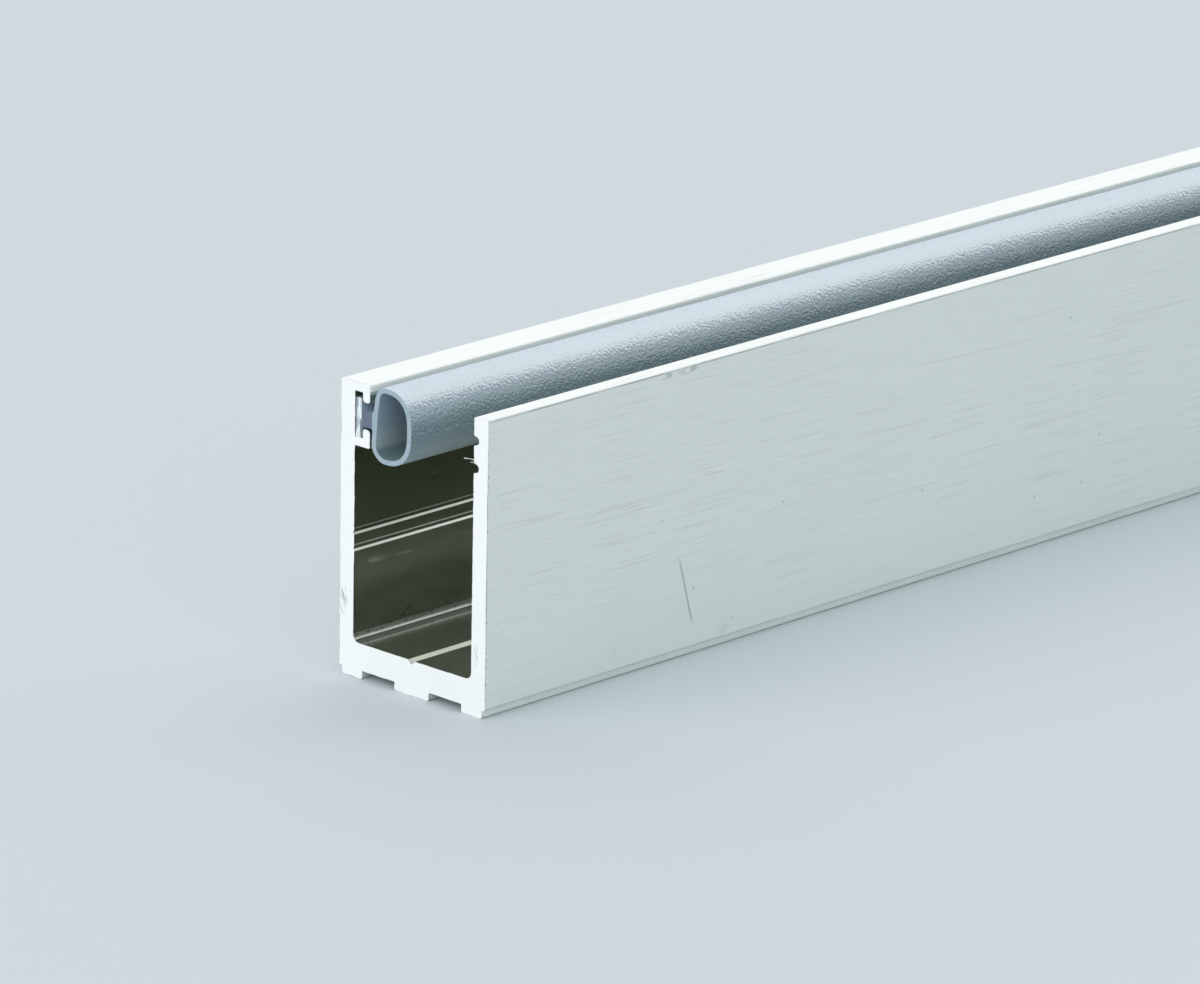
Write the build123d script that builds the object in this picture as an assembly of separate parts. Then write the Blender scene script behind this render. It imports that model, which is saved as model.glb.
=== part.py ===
"""Glazing channel: an extruded aluminium U section with a soft tube seal pressed into its slot.

X runs across the channel, Y along the bar and Z up. The origin is the middle of the underside.
The left wall carries the seal slot, and a pane of glass stands between the seal and the right wall.
"""

import os

from build123d import *

# Driving dimensions of the bar, in millimetres
length = 1000.0
channel_width = 20.0
channel_height = 30.0
wall = 1.9
base_web = 2.75
floor_fillet = 0.75
edge_round = 0.2

# Underside: three feet, with a tape groove on each side of the middle one
foot_height = 0.85
side_foot_width = 2.8
middle_foot_width = 4.7
side_step = 0.4
foot_round = 0.25

# Drill line: a V groove along the middle of the floor
drill_line_width = 1.0
drill_line_depth = 0.45

# Seal slot: a T shaped slot at the top of the left wall, closed by two hooks
slot_height = 4.6
slot_depth = 1.1
slot_mouth = 2.7
slot_web = 0.9
hook_thickness = 0.95
hook_round = 0.35

# Grip grooves: round bottomed grooves in the right wall, counted from its top
grip_groove_count = 2
grip_groove_width = 0.9
grip_groove_depth = 0.68
grip_groove_spacing = 2.75
grip_groove_drop = 2.35
grip_lip_round = 0.2

# Score lines: shallow V grooves in the left wall, counted from the lowest
score_line_count = 2
score_line_width = 0.4
score_line_depth = 0.15
score_line_spacing = 1.7
score_line_rise = 9.37

# Tube seal: a foot in the slot, a neck through its mouth and a hollow bulb with a bowed nose
seal_foot_thickness = 0.8
seal_foot_height = 4.0
seal_foot_round = 0.15
seal_back_gap = 0.1
seal_neck_thickness = 1.6
seal_root_fillet = 0.3
bulb_depth = 5.25
bulb_height = 7.65
bulb_nose_bow = 1.15
bulb_back_round = 1.7
bulb_nose_round = 2.3
bulb_wall = 0.5
bulb_drop = 0.15
bulb_gap = 0.4

# The most of its thickness that a hook's tip may be rounded by, on each side
hook_round_limit_share = 0.45

# The most of a grip groove's straight flank that the rounding of its lip may take up
lip_round_limit_share = 0.9

# Places that follow from the sizes above
floor_z = foot_height + base_web
outer_x = channel_width / 2
inner_x = outer_x - wall
slot_top_z = channel_height - slot_web
slot_bottom_z = slot_top_z - slot_height
slot_middle_z = (slot_top_z + slot_bottom_z) / 2
hook_back_x = -inner_x + slot_depth
hook_front_x = hook_back_x + hook_thickness


def block(left, right, bottom, top, corner=0.0):
    """A rectangle between two uprights and two levels, with its corners rounded if a radius is given."""
    width = right - left
    height = top - bottom
    shape = RectangleRounded(width, height, corner) if corner else Rectangle(width, height)
    return Pos((left + right) / 2, (bottom + top) / 2) * shape


def round_corners(section, corners, radius):
    """Fillets the corners of a section that lie at the given places."""
    nearest = [section.vertices().sort_by_distance(Vector(x, z, 0))[0] for x, z in corners]
    return fillet(nearest, radius)


def v_groove(width, depth):
    """A diamond whose lower half is the V that is cut, with the surface across its middle."""
    half = width / 2
    return make_face(Polyline((-half, 0), (0, -depth), (half, 0), (0, depth), close=True))


def u_section():
    """Floor plate, two upright walls and the rounded floor corners between them."""
    floor_plate = block(-outer_x, outer_x, foot_height, floor_z, edge_round)
    left_wall = block(-outer_x, -inner_x, foot_height, channel_height, edge_round)
    right_wall = block(inner_x, outer_x, foot_height, channel_height, edge_round)
    section = floor_plate + left_wall + right_wall
    return round_corners(section, [(-inner_x, floor_z), (inner_x, floor_z)], floor_fillet)


def feet():
    """Three feet, buried in the floor plate at their tops."""
    top = foot_height + base_web / 2
    side_x = outer_x - side_step - side_foot_width / 2
    shape = Sketch()
    for middle, width in ((-side_x, side_foot_width), (0, middle_foot_width), (side_x, side_foot_width)):
        shape += block(middle - width / 2, middle + width / 2, 0, top, foot_round)
    return shape


def seal_slot_lips():
    """The two lips on the left wall, with the slot between them and hooks that narrow its mouth."""
    lips = block(-outer_x, hook_front_x, slot_bottom_z - slot_web, channel_height, edge_round)
    lips -= block(-inner_x, hook_back_x, slot_bottom_z, slot_top_z)
    mouth_bottom = slot_middle_z - slot_mouth / 2
    mouth_top = slot_middle_z + slot_mouth / 2
    lips -= block(hook_back_x, hook_front_x, mouth_bottom, mouth_top)
    tips = [(x, z) for x in (hook_back_x, hook_front_x) for z in (mouth_bottom, mouth_top)]
    return round_corners(lips, tips, min(hook_round, hook_thickness * hook_round_limit_share))


def cut_grip_grooves(section):
    """Cuts the round bottomed grooves into the inner face of the right wall and rounds their lips."""
    radius = grip_groove_width / 2
    flank = grip_groove_depth - radius
    lip_round = min(grip_lip_round, flank * lip_round_limit_share)
    for step in range(grip_groove_count):
        z = channel_height - grip_groove_drop - step * grip_groove_spacing
        section -= Pos(inner_x + flank, z) * Circle(radius)
        section -= block(inner_x - radius, inner_x + max(flank, 0), z - radius, z + radius)
        if lip_round > 0:
            section = round_corners(section, [(inner_x, z - radius), (inner_x, z + radius)], lip_round)
    return section


def score_lines():
    """Shallow V grooves in the inner face of the left wall."""
    groove = Rot(0, 0, -90) * v_groove(score_line_width, score_line_depth)
    shape = Sketch()
    for step in range(score_line_count):
        z = floor_z + score_line_rise + step * score_line_spacing
        shape += Pos(-inner_x, z) * groove
    return shape


def channel_section():
    """The whole aluminium section."""
    section = u_section() + feet() + seal_slot_lips()
    section = cut_grip_grooves(section)
    section -= score_lines()
    section -= Pos(0, floor_z) * v_groove(drill_line_width, drill_line_depth)
    return section


def bulb_outline(back):
    """The bulb around its own middle height: a flat back, rounded corners and a bowed nose."""
    half = bulb_height / 2
    shoulder = back + bulb_depth - bulb_nose_bow
    outline = Polyline((shoulder, -half), (back, -half), (back, half), (shoulder, half))
    outline += ThreePointArc((shoulder, half), (back + bulb_depth, 0), (shoulder, -half))
    shape = round_corners(make_face(outline), [(back, -half), (back, half)], bulb_back_round)
    return round_corners(shape, [(shoulder, -half), (shoulder, half)], bulb_nose_round)


def seal_section():
    """The soft seal: its foot stands on the floor of the slot and its bulb hangs in front of the hooks."""
    foot_back_x = -inner_x + seal_back_gap
    foot_front_x = foot_back_x + seal_foot_thickness
    foot_top_z = slot_bottom_z + seal_foot_height
    neck_z = (slot_bottom_z + foot_top_z) / 2
    bulb_back_x = hook_front_x + bulb_gap
    bulb = Pos(0, neck_z - bulb_drop) * bulb_outline(bulb_back_x)
    hollow = offset(bulb, -bulb_wall)
    neck_bottom = neck_z - seal_neck_thickness / 2
    neck_top = neck_z + seal_neck_thickness / 2
    foot_middle_x = (foot_back_x + foot_front_x) / 2
    section = bulb + block(foot_back_x, foot_front_x, slot_bottom_z, foot_top_z, seal_foot_round)
    section += block(foot_middle_x, bulb_back_x + bulb_wall / 2, neck_bottom, neck_top)
    roots = [(x, z) for x in (foot_front_x, bulb_back_x) for z in (neck_bottom, neck_top)]
    section = round_corners(section, roots, seal_root_fillet)
    return section - hollow


def bar(section):
    """A section run along the whole bar, half each way from the middle."""
    return extrude(Plane.XZ * section, amount=length / 2, both=True)


os.makedirs("parts", exist_ok=True)
export_step(bar(channel_section()), "parts/channel_profile.step")
export_step(bar(seal_section()), "parts/tube_seal.step")
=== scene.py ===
"""Dresses the aluminium glazing channel: sawn ends, drawn faces, a grained tube seal and a saw curl."""

import math

import bmesh
import bpy
from mathutils import Euler, Matrix, Vector


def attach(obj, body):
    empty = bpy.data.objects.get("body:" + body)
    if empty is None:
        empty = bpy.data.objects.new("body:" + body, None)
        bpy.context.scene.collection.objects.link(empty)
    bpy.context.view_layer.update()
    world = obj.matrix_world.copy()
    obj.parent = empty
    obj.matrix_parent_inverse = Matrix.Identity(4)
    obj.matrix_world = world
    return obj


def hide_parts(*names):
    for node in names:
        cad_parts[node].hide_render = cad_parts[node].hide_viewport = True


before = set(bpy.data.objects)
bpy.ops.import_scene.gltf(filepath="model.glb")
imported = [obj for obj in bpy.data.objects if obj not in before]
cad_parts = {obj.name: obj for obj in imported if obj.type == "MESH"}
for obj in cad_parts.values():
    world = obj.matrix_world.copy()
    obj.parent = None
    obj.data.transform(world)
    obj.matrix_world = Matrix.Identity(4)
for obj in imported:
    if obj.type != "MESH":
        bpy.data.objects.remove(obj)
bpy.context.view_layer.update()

mm = 0.001
hair = 0.01 * mm
weld = 0.001 * mm

# The bar lies along Y and stands on its feet; the photographed end is the near one
bar_length = 1000 * mm
near_end = -bar_length / 2
far_end = bar_length / 2

# The section: faces of the walls, the front of the seal lips, levels, and the score lines of the left wall
outer_face = 10.0 * mm
inner_face = 8.1 * mm
left_face = -inner_face
lip_front = -6.05 * mm
foot_height = 0.85 * mm
floor_top = 3.6 * mm
channel_top = 30.0 * mm
score_lines = (12.97 * mm, 14.67 * mm)

# A fine ridge stands a little above each score line
ridge_rise = 0.44 * mm
ridge_half_width = 0.03 * mm
ridge_height = 0.0225 * mm

# The ragged saw edge: its reach along the bar, the length of a tooth mark and how far points stray
saw_step = 0.12 * mm
tooth = 0.28 * mm
raggedness = 0.05 * mm
near_seed = 3
far_seed = 8
most_halvings = 8

# Marks on the faces are placed in millimetres, along the bar from the near end and up from the feet.
# A score has two ends and a width, a smear has a middle, half lengths and a depth
outer_gouge = ((26.8, 10.7), (29.0, 3.0), 0.15)
outer_scores = [
    ((11.9, 17.7), (31.0, 17.3), 0.11),
    ((11.1, 16.7), (24.8, 16.6), 0.10),
    ((0.8, 22.2), (5.5, 22.3), 0.13),
    ((36.9, 22.2), (45.4, 22.1), 0.10),
    ((52.0, 17.4), (64.9, 17.2), 0.13),
    ((53.2, 10.4), (65.2, 10.3), 0.13),
    ((60.0, 23.3), (80.0, 22.5), 0.12),
    ((75.2, 24.9), (83.9, 25.0), 0.12),
    ((77.3, 13.2), (91.1, 13.1), 0.11),
    ((81.7, 19.0), (98.5, 17.7), 0.12),
]
outer_pits = [
    (84.7, 23.7),
    (80.0, 5.5),
    (87.3, 5.5),
    (89.9, 10.1),
    (62.5, 9.9),
    (41.7, 13.1),
    (24.3, 14.8),
    (29.0, 6.9),
]
pit_size = (0.22, 0.18)
outer_smears = [
    ((33.1, 1.8), (1.4, 0.7), 0.15),
    ((34.2, 2.6), (1.0, 0.4), 0.15),
    ((17.8, 2.9), (0.6, 1.2), 0.07),
    ((24.3, 29.5), (1.3, 0.45), 0.5),
    ((27.6, 29.5), (1.8, 0.45), 0.5),
]
wall_stains = [
    ((0.4, 11.4), (8.7, 11.25), 0.40),
    ((13.0, 11.5), (18.0, 11.2), 0.30),
]

# Scuffs on the sawn ends, across and up: the middle, half lengths and depth
end_scuffs = [
    ((-9.5, 7.4), (0.7, 2.0), 1.0),
    ((8.7, 6.2), (0.35, 1.4), 1.0),
    ((4.5, 2.2), (2.4, 1.2), 0.12),
]

# The camera aims at a point on the outer face of the plain wall, which is the middle of the picture
aim = Vector((10.0, -484.53, 19.67)) * mm
camera_azimuth = math.radians(43.707)
camera_elevation = math.radians(17.29)
camera_roll = math.radians(1.029)
camera_distance = 788.83 * mm
camera_lens = 244.93
camera_film = 36

# Soft lamps: where each one shines from, how wide it looks in degrees, its strength and its tint
lamps = {
    "window_behind_left": ((-0.36, 0.70, 0.62), 98, 1.65, (1.0, 0.985, 1.0)),
    "window_in_front": ((-0.15, -0.85, 0.50), 70, 1.6, (1.0, 0.99, 1.0)),
    "fill_on_the_right": ((0.80, -0.45, 0.40), 80, 1.2, (0.87, 1.0, 0.95)),
}
room_light = 0.40
room_tint = (0.93, 0.98, 1.0)
floor_colour = (0.56, 0.61, 0.64)
floor_size = 40
floor_drop = 0.02 * mm


# Shader sums


class Reading:
    """What a node gives at each point of a surface, ready to be used in sums."""

    def __init__(self, finish, socket):
        self.finish = finish
        self.socket = socket

    def give(self, name):
        """Another output of the same node."""
        return Reading(self.finish, self.socket.node.outputs[name])

    def __add__(self, other):
        return self.finish.sum("ADD", self, other)

    __radd__ = __add__

    def __sub__(self, other):
        return self.finish.sum("SUBTRACT", self, other)

    def __rsub__(self, other):
        return self.finish.sum("SUBTRACT", other, self)

    def __mul__(self, other):
        return self.finish.sum("MULTIPLY", self, other)

    __rmul__ = __mul__

    def __truediv__(self, other):
        return self.finish.sum("DIVIDE", self, other)

    def __abs__(self):
        return self.finish.sum("ABSOLUTE", self, 0)

    def __gt__(self, other):
        return self.finish.sum("GREATER_THAN", self, other)

    def __lt__(self, other):
        return self.finish.sum("LESS_THAN", self, other)


class Finish:
    """A surface finish under construction."""

    def __init__(self, name):
        self.material = bpy.data.materials.new(name)
        self.material.use_nodes = True
        self.tree = self.material.node_tree
        self.shader = self.tree.nodes["Principled BSDF"]

    def node(self, kind, settings, sockets):
        """Adds a node: its settings first, then a value or a link for each socket, by name or number."""
        made = self.tree.nodes.new(kind)
        for name, value in settings.items():
            setattr(made, name, value)
        for key, value in sockets.items():
            self.feed(made.inputs[key], value)
        first = next(socket for socket in made.outputs if socket.enabled)
        return Reading(self, first)

    def feed(self, socket, value):
        if isinstance(value, Reading):
            self.tree.links.new(value.socket, socket)
        else:
            socket.default_value = value

    def sum(self, operation, first, second):
        return self.node("ShaderNodeMath", {"operation": operation}, {0: first, 1: second})

    def place(self):
        return self.node("ShaderNodeTexCoord", {}, {}).give("Object")

    def facing(self):
        return self.node("ShaderNodeTexCoord", {}, {}).give("Normal")

    def parts(self, vector):
        """The three parts of a vector."""
        split = self.node("ShaderNodeSeparateXYZ", {}, {"Vector": vector})
        return split, split.give("Y"), split.give("Z")

    def grain(self, vector, scale, detail=2.0, offset=(0, 0, 0)):
        """Noise whose cells per metre are given for each direction."""
        settings = {"operation": "MULTIPLY_ADD"}
        stretched = self.node("ShaderNodeVectorMath", settings, {0: vector, 1: scale, 2: offset})
        return self.node("ShaderNodeTexNoise", {}, {"Vector": stretched, "Scale": 1.0, "Detail": detail})

    def flecks(self, vector, scale, detail, offset, low, high):
        """Noise that is cut down to separate flecks by a low and a high mark."""
        return self.between(self.grain(vector, scale, detail, offset), low, high)

    def pebbles(self, vector, scale):
        """Small round knobs, closely set, with the number per metre given for each direction."""
        settings = {"operation": "MULTIPLY"}
        stretched = self.node("ShaderNodeVectorMath", settings, {0: vector, 1: scale})
        gaps = self.node("ShaderNodeTexVoronoi", {"feature": "F1"}, {"Vector": stretched, "Scale": 1.0})
        return 1 - gaps

    def lifted(self, vector, run, rate):
        """A place that is lifted more and more along a run."""
        lift = self.node("ShaderNodeCombineXYZ", {}, {"Z": run * rate})
        return self.node("ShaderNodeVectorMath", {"operation": "ADD"}, {0: vector, 1: lift})

    def between(self, value, low, high):
        """0 below the low mark, 1 above the high mark, and a soft step between them."""
        settings = {"interpolation_type": "SMOOTHSTEP"}
        return self.node("ShaderNodeMapRange", settings, {"Value": value, 1: low, 2: high})

    def band(self, value, low, high):
        """1 between two marks and 0 elsewhere, with hard edges."""
        return (value > low) * (value < high)

    def strip(self, value, start, full, fading, end):
        """1 on a strip, with a soft step at each of its sides."""
        return self.between(value, start, full) * (1 - self.between(value, fading, end))

    def blend(self, share, first, second):
        """The first colour, giving way to the second by a share."""
        return self.node("ShaderNodeMix", {"data_type": "RGBA"}, {0: share, 6: first, 7: second})

    def bump(self, height, strength, distance):
        sockets = {"Height": height, "Strength": strength, "Distance": distance}
        return self.node("ShaderNodeBump", {}, sockets)

    def cover(self, share, sockets):
        """Lays another shader over those that are there, by a share."""
        shader = self.node("ShaderNodeBsdfPrincipled", {}, sockets)
        surface = self.tree.nodes["Material Output"].inputs["Surface"]
        under = Reading(self, surface.links[0].from_socket)
        self.feed(surface, self.node("ShaderNodeMixShader", {}, {0: share, 1: under, 2: shader}))

    def set(self, **sockets):
        """Feeds the shader's own sockets, named with underscores for spaces."""
        for name, value in sockets.items():
            self.feed(self.shader.inputs[name.replace("_", " ")], value)


def scored(finish, along, up, start, end, width):
    """A straight score between two places on a face, thin at its sides and fading at its tips."""
    start = Vector(start) * mm
    run = Vector(end) * mm - start
    length = run.length
    run.normalize()
    side = along - start.x
    rise = up - start.y
    near = side * run.x + rise * run.y
    off = abs(side * run.y - rise * run.x)
    body = 1 - finish.between(off, 0.3 * width * mm, width * mm)
    return body * finish.strip(near, 0.0, 0.15 * length, 0.85 * length, length)


def spotted(finish, along, up, centre, size):
    """A round spot on a face, soft at its rim; size gives its half lengths along and up."""
    side = (along - centre[0] * mm) / (size[0] * mm)
    rise = (up - centre[1] * mm) / (size[1] * mm)
    return 1 - finish.between(side * side + rise * rise, 0.2, 1.0)


# Finishes


def outer_marks_and_shade(finish, place, along, z):
    """Marks of handling on the outer face of the plain wall: the gouge, and how dark all marks are,
    together with painted shade lines along the top edge and along the step above the feet.
    """
    gouge = scored(finish, along, z, *outer_gouge)
    scratched = sum(scored(finish, along, z, *score) for score in outer_scores)
    pitted = sum(spotted(finish, along, z, pit, pit_size) for pit in outer_pits)
    smeared = sum(depth * spotted(finish, along, z, centre, size) for centre, size, depth in outer_smears)
    smeared = smeared * finish.flecks(place, (1500, 700, 1500), 3.0, (2, 4, 6), 0.40, 0.62)
    shade_line_breaks = finish.flecks(place, (40, 160, 40), 3.0, (8, 2, 4), 0.30, 0.60)
    from_top = channel_top - z
    above_feet = z - foot_height
    # Painted shade: a thin dark line just below the top edge and another along the step above the feet,
    # broken up by noise
    top_edge_shade = finish.strip(from_top, 0.07 * mm, 0.14 * mm, 0.22 * mm, 0.28 * mm)
    step_edge_shade = finish.strip(above_feet, -0.05 * mm, 0.07 * mm, 0.20 * mm, 0.31 * mm)
    painted_edge_shade = (0.62 * top_edge_shade + 0.22 * step_edge_shade) * (0.4 + 0.6 * shade_line_breaks)
    return gouge, 0.65 * gouge + 0.14 * scratched + 0.4 * pitted + smeared + painted_edge_shade


def inner_tones(finish, place, x, along, z, facing_z, inside, dulled):
    """The colour inside the channel, with its stains, the scores' lit flanks, painted shade above the
    score lines and along the floor corner, and a painted highlight on the floor rounding.
    """
    bright, dull = (0.79, 0.83, 0.73, 1), (0.40, 0.43, 0.37, 1)
    upper_wall_shade = (0.40, 0.41, 0.29, 1)
    stain = (0.80, 0.72, 0.54, 1)
    lit_metal = (0.84, 0.90, 0.80, 1)
    rounding_highlight = (0.86, 0.92, 0.86, 1)
    dirt_and_shade = (0.05, 0.06, 0.05, 1)
    from_left = x - left_face
    above_floor = z - floor_top
    left_wall = (from_left < 0.2 * mm) * inside
    # Painted shade: a dark line where the left rounding meets the floor
    corner = finish.band(from_left, 0.24 * mm, 1.1 * mm) * (above_floor < 0.22 * mm) * inside
    rounding = (from_left < 0.8 * mm) * (above_floor < 0.8 * mm) * inside
    lit_flank = (facing_z > 0.3) * finish.band(z, 8.0 * mm, 20.0 * mm) * left_wall
    upper_wall = finish.between(z, score_lines[0], score_lines[1]) * left_wall
    stained = sum(scored(finish, along, z, *streak) for streak in wall_stains)
    stained = stained * left_wall * finish.flecks(place, (3200, 500, 3200), 3.0, (4, 4, 1), 0.44, 0.60)
    specks = finish.flecks(place, (3000, 1900, 3000), 1.0, (6, 6, 2), 0.65, 0.71)
    specks = specks * left_wall * (1 - finish.between(above_floor, 1.0 * mm, 3.8 * mm))
    colour = finish.blend(dulled, bright, dull)
    # Painted shade: the left wall above the score lines is darker and yellower
    colour = finish.blend(0.65 * upper_wall, colour, upper_wall_shade)
    colour = finish.blend(0.8 * stained, colour, stain)
    colour = finish.blend(lit_flank, colour, lit_metal)
    # Painted highlight: the rounding between the left wall and the floor is lighter and greener
    colour = finish.blend(0.8 * rounding, colour, rounding_highlight)
    # The specks are dirt; along the floor corner the same dark colour is painted shade
    colour = finish.blend(0.7 * specks + 0.75 * corner, colour, dirt_and_shade)
    return colour, stained, lit_flank, rounding


def sawn_tones(finish, place, x, z):
    """The colour of a sawn end and the fine lines that the teeth left on it."""
    sawn_metal, scuffed_metal = (0.96, 0.965, 0.965, 1), (0.42, 0.45, 0.45, 1)
    teeth = finish.grain(place, (700, 1, 5200), 3.0, (2, 2, 8))
    slanted = {"X": 0.95 * x + 0.33 * z, "Z": 0.95 * z - 0.33 * x}
    slanted = finish.node("ShaderNodeCombineXYZ", {}, slanted)
    strokes = finish.flecks(slanted, (6500, 1, 420), 1.0, (5, 1, 4), 0.54, 0.62)
    scuffs = sum(depth * spotted(finish, x, z, centre, size) for centre, size, depth in end_scuffs)
    colour = finish.blend(0.06 * teeth + 0.9 * scuffs * strokes, sawn_metal, scuffed_metal)
    return colour, teeth


def mill_aluminium():
    """Drawn faces with fine lines along the bar, marks of handling, painted shade and highlights along
    some edges and inside the channel, and bright sawn ends.
    """
    finish = Finish("mill_aluminium")
    clean_metal, worn_and_shaded_metal = (0.82, 0.845, 0.83, 1), (0.30, 0.33, 0.32, 1)
    place = finish.place()
    x, y, z = finish.parts(place)
    _, facing_y, facing_z = finish.parts(finish.facing())
    along = y - near_end
    from_end = bar_length / 2 - abs(y)
    from_top = channel_top - z
    sawn = abs(facing_y) > 0.6
    drawn = 1 - sawn
    outside = (x > outer_face - 0.5 * mm) * drawn
    within = (z > floor_top - 0.6 * mm) * (from_top > 0.7 * mm)
    inside = (abs(x) < inner_face + 0.3 * mm) * within * drawn
    lip_face = finish.band(x - lip_front, -0.35 * mm, 0.25 * mm)
    lip_face = lip_face * finish.band(from_top, 0.1 * mm, 1.0 * mm) * drawn

    tilted = finish.lifted(place, y, 0.018)
    lines = finish.grain(place, (7000, 60, 7000), 3.0)
    patches = finish.flecks(place, (70, 25, 70), 2.0, (0, 0, 0), 0.36, 0.60)
    clouds = finish.grain(place, (90, 40, 90), 2.0, (3, 9, 1))
    mottle = finish.grain(place, (800, 300, 800), 3.0, (2, 8, 5))
    rubs = finish.flecks(tilted, (5000, 80, 5000), 2.0, (7, 3, 5), 0.56, 0.70)
    nicks = finish.flecks(tilted, (6200, 240, 6200), 1.0, (1, 8, 2), 0.62, 0.74)
    drags = finish.flecks(place, (4200, 26, 4200), 1.0, (2, 7, 7), 0.70, 0.78)
    shine = finish.flecks(place, (5600, 110, 5600), 2.0, (6, 1, 9), 0.58, 0.72)
    # Painted shade: dark specks in a thin band of the drawn faces next to each sawn end, standing for the
    # shade of the saw's nicks
    rim_nick_shade = finish.flecks(place, (2400, 900, 2400), 1.0, (9, 9, 9), 0.54, 0.62)
    rim_nick_shade = rim_nick_shade * (1 - finish.between(from_end, 0.08 * mm, 0.26 * mm)) * drawn
    rubbed = (rubs + 0.8 * nicks + 1.2 * drags) * (0.25 + 0.75 * patches)

    gouge, handling_and_shade = outer_marks_and_shade(finish, place, along, z)
    streaks = 0.16 * rubbed * (1 - 0.8 * inside) - 0.07 * shine * (1 - 0.7 * inside)
    marks = streaks + 0.07 * lines + 0.06 * clouds + 0.5 * rim_nick_shade + outside * handling_and_shade
    dulled = marks + 0.3 * clouds + 0.5 * mottle
    tones = inner_tones(finish, place, x, along, z, facing_z, inside, dulled)
    inner_colour, stained, lit_flank, rounding = tones
    end_colour, teeth = sawn_tones(finish, place, x, z)
    drawn_colour = finish.blend(marks, clean_metal, worn_and_shaded_metal)
    drawn_colour = finish.blend(inside, drawn_colour, inner_colour)

    worn = (0.10 * lines + 0.08 * rubbed) * (1 - 0.7 * inside) + 0.05 * inside
    height = (0.6 * lines - 0.8 * rubs) * (1 - 0.95 * inside) - 2.0 * outside * gouge
    finish.set(
        Base_Color=finish.blend(sawn, drawn_colour, end_colour),
        Metallic=0.45 + 0.55 * inside - 0.1 * sawn - 0.4 * lip_face - 0.2 * stained,
        Roughness=0.40 + worn + 0.10 * sawn - 0.23 * inside + 0.15 * rounding - 0.10 * lit_flank,
        Normal=finish.bump(height + sawn * (teeth - height), 0.3, 0.02 * mm),
    )
    return finish.material


def clear_seal():
    """Cloudy soft plastic: a pebbled skin with faint flow lines, a smooth hollow with painted light and
    shade, and duller cut ends with a neck painted dark as shade.
    """
    finish = Finish("clear_seal")
    skin_shade, skin_light = (0.18, 0.29, 0.37, 1), (0.31, 0.44, 0.53, 1)
    hollow_shaded_bottom, hollow_lit_middle = (0.15, 0.22, 0.245, 1), (0.36, 0.44, 0.47, 1)
    hollow_shaded_top = (0.29, 0.365, 0.445, 1)
    rim_shade, rim_light = (0.25, 0.33, 0.39, 1), (0.38, 0.47, 0.53, 1)
    neck_shade, neck_light = (0.09, 0.12, 0.18, 1), (0.14, 0.17, 0.24, 1)
    torn_shade, torn_light = (0.16, 0.21, 0.25, 1), (0.74, 0.80, 0.82, 1)
    place = finish.place()
    x, _, z = finish.parts(place)
    facing_x, facing_y, facing_z = finish.parts(finish.facing())
    cut = abs(facing_y) > 0.6
    hollow = ((x + 3.0 * mm) * facing_x + (z - 26.35 * mm) * facing_z) < 0
    pebbles = finish.pebbles(place, (3500, 3000, 3500))
    frost = finish.grain(place, (5200, 4400, 5200), 2.0, (5, 5, 5))
    flow = finish.grain(place, (500, 25, 500), 2.0, (4, 0, 2))
    clouds = finish.grain(place, (300, 140, 300), 3.0, (1, 6, 3))
    drag = finish.grain(place, (5200, 1, 700), 3.0, (3, 3, 3))
    upper = finish.between(z, 23.6 * mm, 26.6 * mm)
    finish.set(
        Base_Color=finish.blend(0.4 * flow + 0.6 * clouds, skin_shade, skin_light),
        Roughness=0.19 + 0.08 * clouds + 0.3 * (1 - upper),
        Normal=finish.bump(pebbles + 0.8 * frost, 1.0, 0.052 * mm),
        IOR=2.6,
        Specular_IOR_Level=1.0,
    )
    # Painted light and shade in the hollow: lighter than the skin, as if lit through the wall, and darker
    # towards its bottom and, less, towards its top
    inner_skin = finish.blend(finish.between(z, 25.0 * mm, 26.2 * mm), hollow_lit_middle, hollow_shaded_top)
    inner_low = 1 - finish.between(z, 23.5 * mm, 24.2 * mm)
    inner_skin = finish.blend(inner_low, inner_skin, hollow_shaded_bottom)
    finish.cover(hollow, {"Base Color": inner_skin, "Roughness": 0.45 + 0.2 * clouds})
    rim = finish.blend(drag, rim_shade, rim_light)
    # Painted shade: the neck's cut end, which lies in the slot, is much darker than the rim
    neck = finish.blend(drag, neck_shade, neck_light)
    torn = finish.blend(finish.between(drag, 0.42, 0.58), torn_shade, torn_light)
    sliced = finish.blend(x < -7.2 * mm, neck, torn)
    sliced = finish.blend(x > -5.75 * mm, sliced, rim)
    scraped = finish.bump(drag, 0.4, 0.02 * mm)
    finish.cover(cut, {"Base Color": sliced, "Roughness": 0.45 + 0.2 * drag, "Normal": scraped})
    return finish.material


# Modelling by hand


def edit(piece):
    """Opens one piece for editing, with nothing else selected."""
    bpy.ops.object.select_all(action="DESELECT")
    bpy.context.view_layer.objects.active = piece
    piece.select_set(True)
    bpy.ops.object.mode_set(mode="EDIT")


def close():
    bpy.ops.object.mode_set(mode="OBJECT")


def pick(piece, kind, test):
    """Selects the vertices, edges or faces of which every corner passes a test, and nothing else."""
    bpy.ops.mesh.select_mode(type=kind)
    bpy.ops.mesh.select_all(action="DESELECT")
    mesh = bmesh.from_edit_mesh(piece.data)
    elements = {"VERT": mesh.verts, "EDGE": mesh.edges, "FACE": mesh.faces}[kind]
    for element in elements:
        corners = [element] if kind == "VERT" else element.verts
        if all(test(corner.co) for corner in corners):
            element.select_set(True)
    mesh.select_flush_mode()
    bmesh.update_edit_mesh(piece.data)


def pull(dx=0.0, dy=0.0, dz=0.0):
    """Extrudes what is selected and moves the new part."""
    bpy.ops.mesh.extrude_region_move(TRANSFORM_OT_translate={"value": (dx, dy, dz)})


def round_points(offset, segments, profile=0.5):
    """Rounds the selected points of a flat section."""
    bpy.ops.mesh.bevel(offset=offset, segments=segments, profile=profile, affect="VERTICES")


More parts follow.
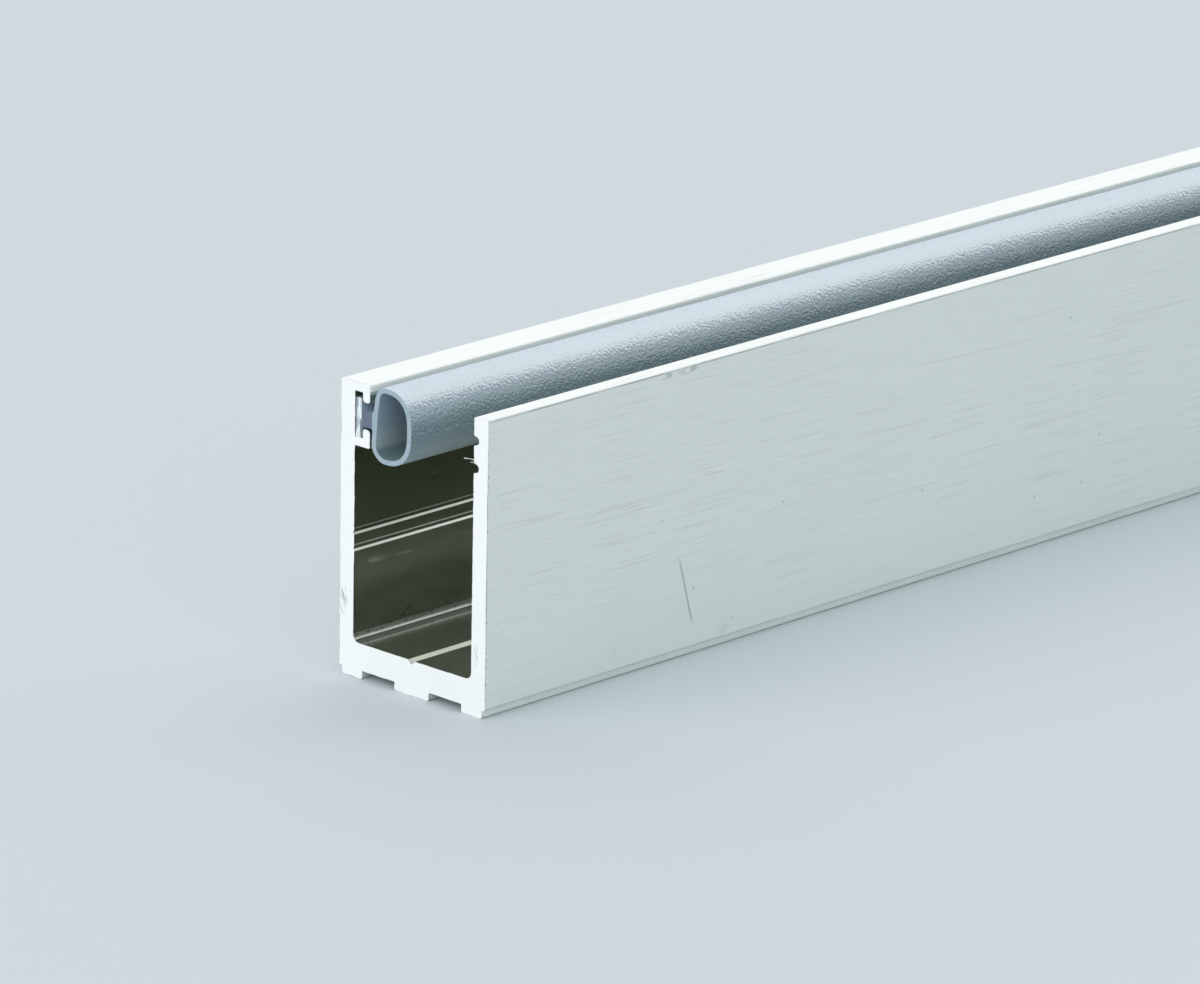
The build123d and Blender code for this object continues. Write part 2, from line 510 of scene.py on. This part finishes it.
def join_up(gap):
    """Merges points that lie on each other and turns all faces outwards."""
    bpy.ops.mesh.select_all(action="SELECT")
    bpy.ops.mesh.remove_doubles(threshold=gap)
    bpy.ops.mesh.normals_make_consistent(inside=False)


def flat_plate(name, middle, size, turn=0.0):
    """A rectangle at its place, to be shaped into a section, turned about X if an angle is given."""
    bpy.ops.object.select_all(action="DESELECT")
    bpy.ops.mesh.primitive_plane_add(size=1, location=middle, rotation=(turn, 0, 0))
    piece = bpy.context.object
    piece.name = name
    piece.scale = (*size, 1)
    bpy.ops.object.transform_apply(location=True, rotation=True, scale=True)
    return piece


def smooth(piece, angle):
    """Smooth shading over shallow edges, with broad faces kept flat."""
    bpy.ops.object.select_all(action="DESELECT")
    bpy.context.view_layer.objects.active = piece
    piece.select_set(True)
    bpy.ops.object.shade_smooth_by_angle(angle=math.radians(angle))
    piece.modifiers.new("flat_faces", "WEIGHTED_NORMAL").keep_sharp = True
    bpy.ops.object.modifier_apply(modifier="flat_faces")


def raise_ridge(piece, ridge_z):
    """Cuts a narrow strip into the left wall's inner face and lifts its middle line."""
    for level in (ridge_z - ridge_half_width, ridge_z, ridge_z + ridge_half_width):
        pick(piece, "FACE", lambda place: abs(place.x - left_face) < hair)
        bpy.ops.mesh.bisect(plane_co=(0, 0, level), plane_no=(0, 0, 1), threshold=hair / 10)
    pick(piece, "VERT", lambda place: abs(place.x - left_face) < hair and abs(place.z - ridge_z) < hair)
    bpy.ops.transform.translate(value=(ridge_height, 0, 0))


def split_rim(piece, end):
    """Halves the edges round an end until none is longer than a tooth mark."""
    for _ in range(most_halvings):
        pick(piece, "EDGE", lambda place: abs(place.y - end) < hair)
        mesh = bmesh.from_edit_mesh(piece.data)
        for edge in mesh.edges:
            if edge.select and edge.calc_length() < tooth:
                edge.select_set(False)
        bmesh.update_edit_mesh(piece.data)
        if not any(edge.select for edge in mesh.edges):
            break
        bpy.ops.mesh.subdivide(number_cuts=1)


def roughen_rim(piece, end, seed):
    """Lets the points round an end stray, except where they lie close, and lays the end flat again."""
    pick(piece, "VERT", lambda place: abs(place.y - end) < hair)
    mesh = bmesh.from_edit_mesh(piece.data)
    for corner in mesh.verts:
        if any(edge.calc_length() < saw_step - hair for edge in corner.link_edges):
            corner.select_set(False)
    bmesh.update_edit_mesh(piece.data)
    bpy.ops.transform.vertex_random(offset=raggedness, uniform=0.0, normal=0.0, seed=seed)
    pick(piece, "VERT", lambda place: abs(place.y - end) < saw_step / 2)
    bpy.ops.transform.resize(value=(1, 0, 1), center_override=(0, end, 0))
    pick(piece, "FACE", lambda place: abs(place.y - end) < hair)
    bpy.ops.mesh.quads_convert_to_tris(quad_method="BEAUTY", ngon_method="BEAUTY")


def sawn_channel():
    """The extrusion with a ridge over each score line and the ragged outline of its sawn ends."""
    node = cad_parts["channel_profile"]
    piece = bpy.data.objects.new("sawn_channel", node.data.copy())
    bpy.context.scene.collection.objects.link(piece)
    edit(piece)
    bpy.ops.mesh.customdata_custom_splitnormals_clear()
    bpy.ops.mesh.select_all(action="SELECT")
    bpy.ops.mesh.remove_doubles(threshold=weld)
    bpy.ops.mesh.dissolve_limited(angle_limit=math.radians(0.5))
    for line_z in score_lines:
        raise_ridge(piece, line_z + ridge_rise)
    for cut_y in (near_end + saw_step, far_end - saw_step):
        bpy.ops.mesh.select_all(action="SELECT")
        bpy.ops.mesh.bisect(plane_co=(0, cut_y, 0), plane_no=(0, 1, 0))
    for end, seed in ((near_end, near_seed), (far_end, far_seed)):
        split_rim(piece, end)
        roughen_rim(piece, end, seed)
    close()
    smooth(piece, angle=24)
    return piece


def neck_stops(back, foot_front, half, flare):
    """The stops of the neck's edge on its way from bulb to foot: where, and half its height there."""
    steps = 5
    turns = [step * math.pi / 2 / steps for step in range(steps + 1)]
    curve = [(flare * (1 - math.cos(turn)), half + flare * (1 - math.sin(turn))) for turn in turns]
    leaving = [(back - run, height) for run, height in curve[1:]]
    arriving = [(foot_front + run, height) for run, height in reversed(curve[:-1])]
    return leaving + arriving


def tube_seal():
    """The seal's section shaped from a plate, hollowed, given neck and foot, and run along the bar."""
    back = -5.65 * mm
    nose = -0.40 * mm
    bottom = 22.525 * mm
    top = 30.175 * mm
    back_round = 1.7 * mm
    nose_round = 3.5 * mm
    wall = 0.5 * mm
    narrower = 0.12 * mm
    neck_z = 26.5 * mm
    neck_half = 0.8 * mm
    flare = 0.3 * mm
    waist = neck_half + flare
    foot_front = -7.2 * mm
    foot_back = -8.0 * mm
    foot_half = 2.0 * mm
    foot_round = 0.15 * mm
    lean_reach = 1.7 * mm
    leans = [
        (27.9 * mm, 29.2 * mm, 0.28 * mm),
        (23.8 * mm, 24.6 * mm, -0.14 * mm),
    ]
    middle = ((back + nose) / 2, near_end, (bottom + top) / 2)
    piece = flat_plate("grained_seal", middle, (nose - back, top - bottom), turn=math.pi / 2)
    edit(piece)
    pick(piece, "VERT", lambda place: place.x < middle[0])
    round_points(back_round, segments=12)
    pick(piece, "VERT", lambda place: place.x > nose - hair)
    round_points(nose_round, segments=22, profile=0.56)
    bpy.ops.mesh.select_all(action="SELECT")
    bpy.ops.mesh.inset(thickness=wall, depth=0, use_boundary=True)
    squeeze = 1 - narrower / (nose - back - 2 * wall)
    bpy.ops.transform.resize(value=(squeeze, 1, 1), center_override=middle)
    bpy.ops.mesh.delete(type="FACE")
    for level in (neck_z - waist, neck_z + waist):
        pick(piece, "FACE", lambda place: place.x < back + wall + narrower)
        bpy.ops.mesh.bisect(plane_co=(0, 0, level), plane_no=(0, 0, 1))
    pick(piece, "EDGE", lambda place: place.x < back + hair and abs(place.z - neck_z) < waist + hair)
    at, half = back, waist
    for stop, next_half in [*neck_stops(back, foot_front, neck_half, flare), (foot_back, waist)]:
        pull(dx=stop - at)
        bpy.ops.transform.resize(value=(1, 1, next_half / half), center_override=(stop, near_end, neck_z))
        at, half = stop, next_half

    def on_foot(place):
        return place.x < foot_front + hair

    for side in (1, -1):
        edge_z = neck_z + side * waist
        pick(piece, "EDGE", lambda place: on_foot(place) and abs(place.z - edge_z) < hair)
        pull(dz=side * (foot_half - waist))
    pick(piece, "VERT", lambda place: on_foot(place) and abs(place.z - neck_z) > foot_half - hair)
    round_points(foot_round, segments=3)

    def on_back(place):
        return back - hair < place.x < back + 1.2 * wall

    for low, high, shift in leans:
        pick(piece, "VERT", lambda place: on_back(place) and low < place.z < high)
        bpy.ops.transform.translate(
            value=(shift, 0, 0),
            use_proportional_edit=True,
            proportional_edit_falloff="SMOOTH",
            proportional_size=lean_reach,
        )
    bpy.ops.mesh.select_all(action="SELECT")
    pull(dy=bar_length)
    join_up(weld / 2)
    close()
    smooth(piece, angle=30)
    return piece


def saw_curl():
    """A curl of swarf on the inner edge of the plain wall, left by the saw: a loop with two tails."""
    centre = Vector((8.05, -500.05, 25.61)) * mm
    radius = 0.15 * mm
    thickness = 0.07 * mm
    width = 0.13 * mm
    long_turn = 97
    long_tail = [
        (-0.45, -0.02, 0.8),
        (-0.42, -0.06, 0.9),
        (-0.1, -0.02, 2.4),
        (-0.12, 0.0, 1.1),
        (-0.06, 0.0, 0.4),
    ]
    short_turn = -83
    short_tail = [
        (-0.25, -0.01, 1.0),
        (-0.2, -0.04, 0.8),
    ]
    start = centre + Vector((radius, 0, 0))
    piece = flat_plate("saw_curl", start, (thickness, width))
    edit(piece)
    for turn, tail in ((long_turn, long_tail), (short_turn, short_tail)):
        swing = math.radians(turn)
        spoke = Vector((math.cos(swing), 0, math.sin(swing)))
        across = Vector((-spoke.z, 0, spoke.x))

        def on_spoke(place):
            arm = place - centre
            return abs(arm.dot(across)) < hair and arm.dot(spoke) > 0

        pick(piece, "FACE", lambda place: abs(place.z - start.z) < hair and place.x > centre.x)
        bpy.ops.mesh.spin(steps=8, angle=swing, center=centre, axis=(0, 1, 0))
        pick(piece, "FACE", on_spoke)
        tip = centre + radius * spoke
        for step_x, step_z, swell in tail:
            pull(dx=step_x * mm, dz=step_z * mm)
            tip = tip + Vector((step_x, 0, step_z)) * mm
            bpy.ops.transform.resize(value=(swell, swell, swell), center_override=tip)
    join_up(weld)
    close()
    rounding = piece.modifiers.new("rounding", "SUBSURF")
    rounding.levels = 1
    rounding.render_levels = 1
    bpy.ops.object.modifier_apply(modifier="rounding")
    smooth(piece, angle=60)
    return piece


# Setting up the studio


def studio_floor():
    bpy.ops.object.select_all(action="DESELECT")
    bpy.ops.mesh.primitive_plane_add(size=floor_size, location=(0, 0, -floor_drop))
    floor = bpy.context.object
    floor.name = "studio_floor"
    paint = Finish("floor_paint")
    paint.set(Base_Color=(*floor_colour, 1), Roughness=0.85, Specular_IOR_Level=0.2)
    floor.data.materials.append(paint.material)


def hang_lamps():
    for name, (source, width, strength, tint) in lamps.items():
        lamp = bpy.data.lights.new(name, "SUN")
        lamp.angle = math.radians(width)
        lamp.energy = strength
        lamp.color = tint
        holder = bpy.data.objects.new(name, lamp)
        holder.rotation_euler = Vector(source).to_track_quat("Z", "Y").to_euler()
        bpy.context.scene.collection.objects.link(holder)
    world = bpy.data.worlds.new("room")
    world.use_nodes = True
    glow = world.node_tree.nodes["Background"]
    glow.inputs["Color"].default_value = (*room_tint, 1)
    glow.inputs["Strength"].default_value = room_light
    bpy.context.scene.world = world


def place_camera():
    lens = bpy.data.cameras.new("camera")
    lens.lens = camera_lens
    lens.sensor_width = camera_film
    camera = bpy.data.objects.new("camera", lens)
    turn = Euler((math.pi / 2 - camera_elevation, 0, camera_azimuth)).to_matrix()
    turn = turn @ Matrix.Rotation(camera_roll, 3, "Z")
    spot = aim + turn @ Vector((0, 0, camera_distance))
    camera.matrix_world = Matrix.Translation(spot) @ turn.to_4x4()
    bpy.context.scene.collection.objects.link(camera)
    bpy.context.scene.camera = camera


def dress(piece, material, node=None):
    """Gives a piece its finish and fixes it to the bar, in place of a solid if one is named."""
    piece.data.materials.clear()
    piece.data.materials.append(material)
    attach(piece, "root")
    if node:
        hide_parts(node)


bpy.context.scene.view_settings.view_transform = "Standard"
place_camera()
hang_lamps()
studio_floor()

metal = mill_aluminium()
plastic = clear_seal()
dress(sawn_channel(), metal, "channel_profile")
dress(tube_seal(), plastic, "tube_seal")
dress(saw_curl(), metal)
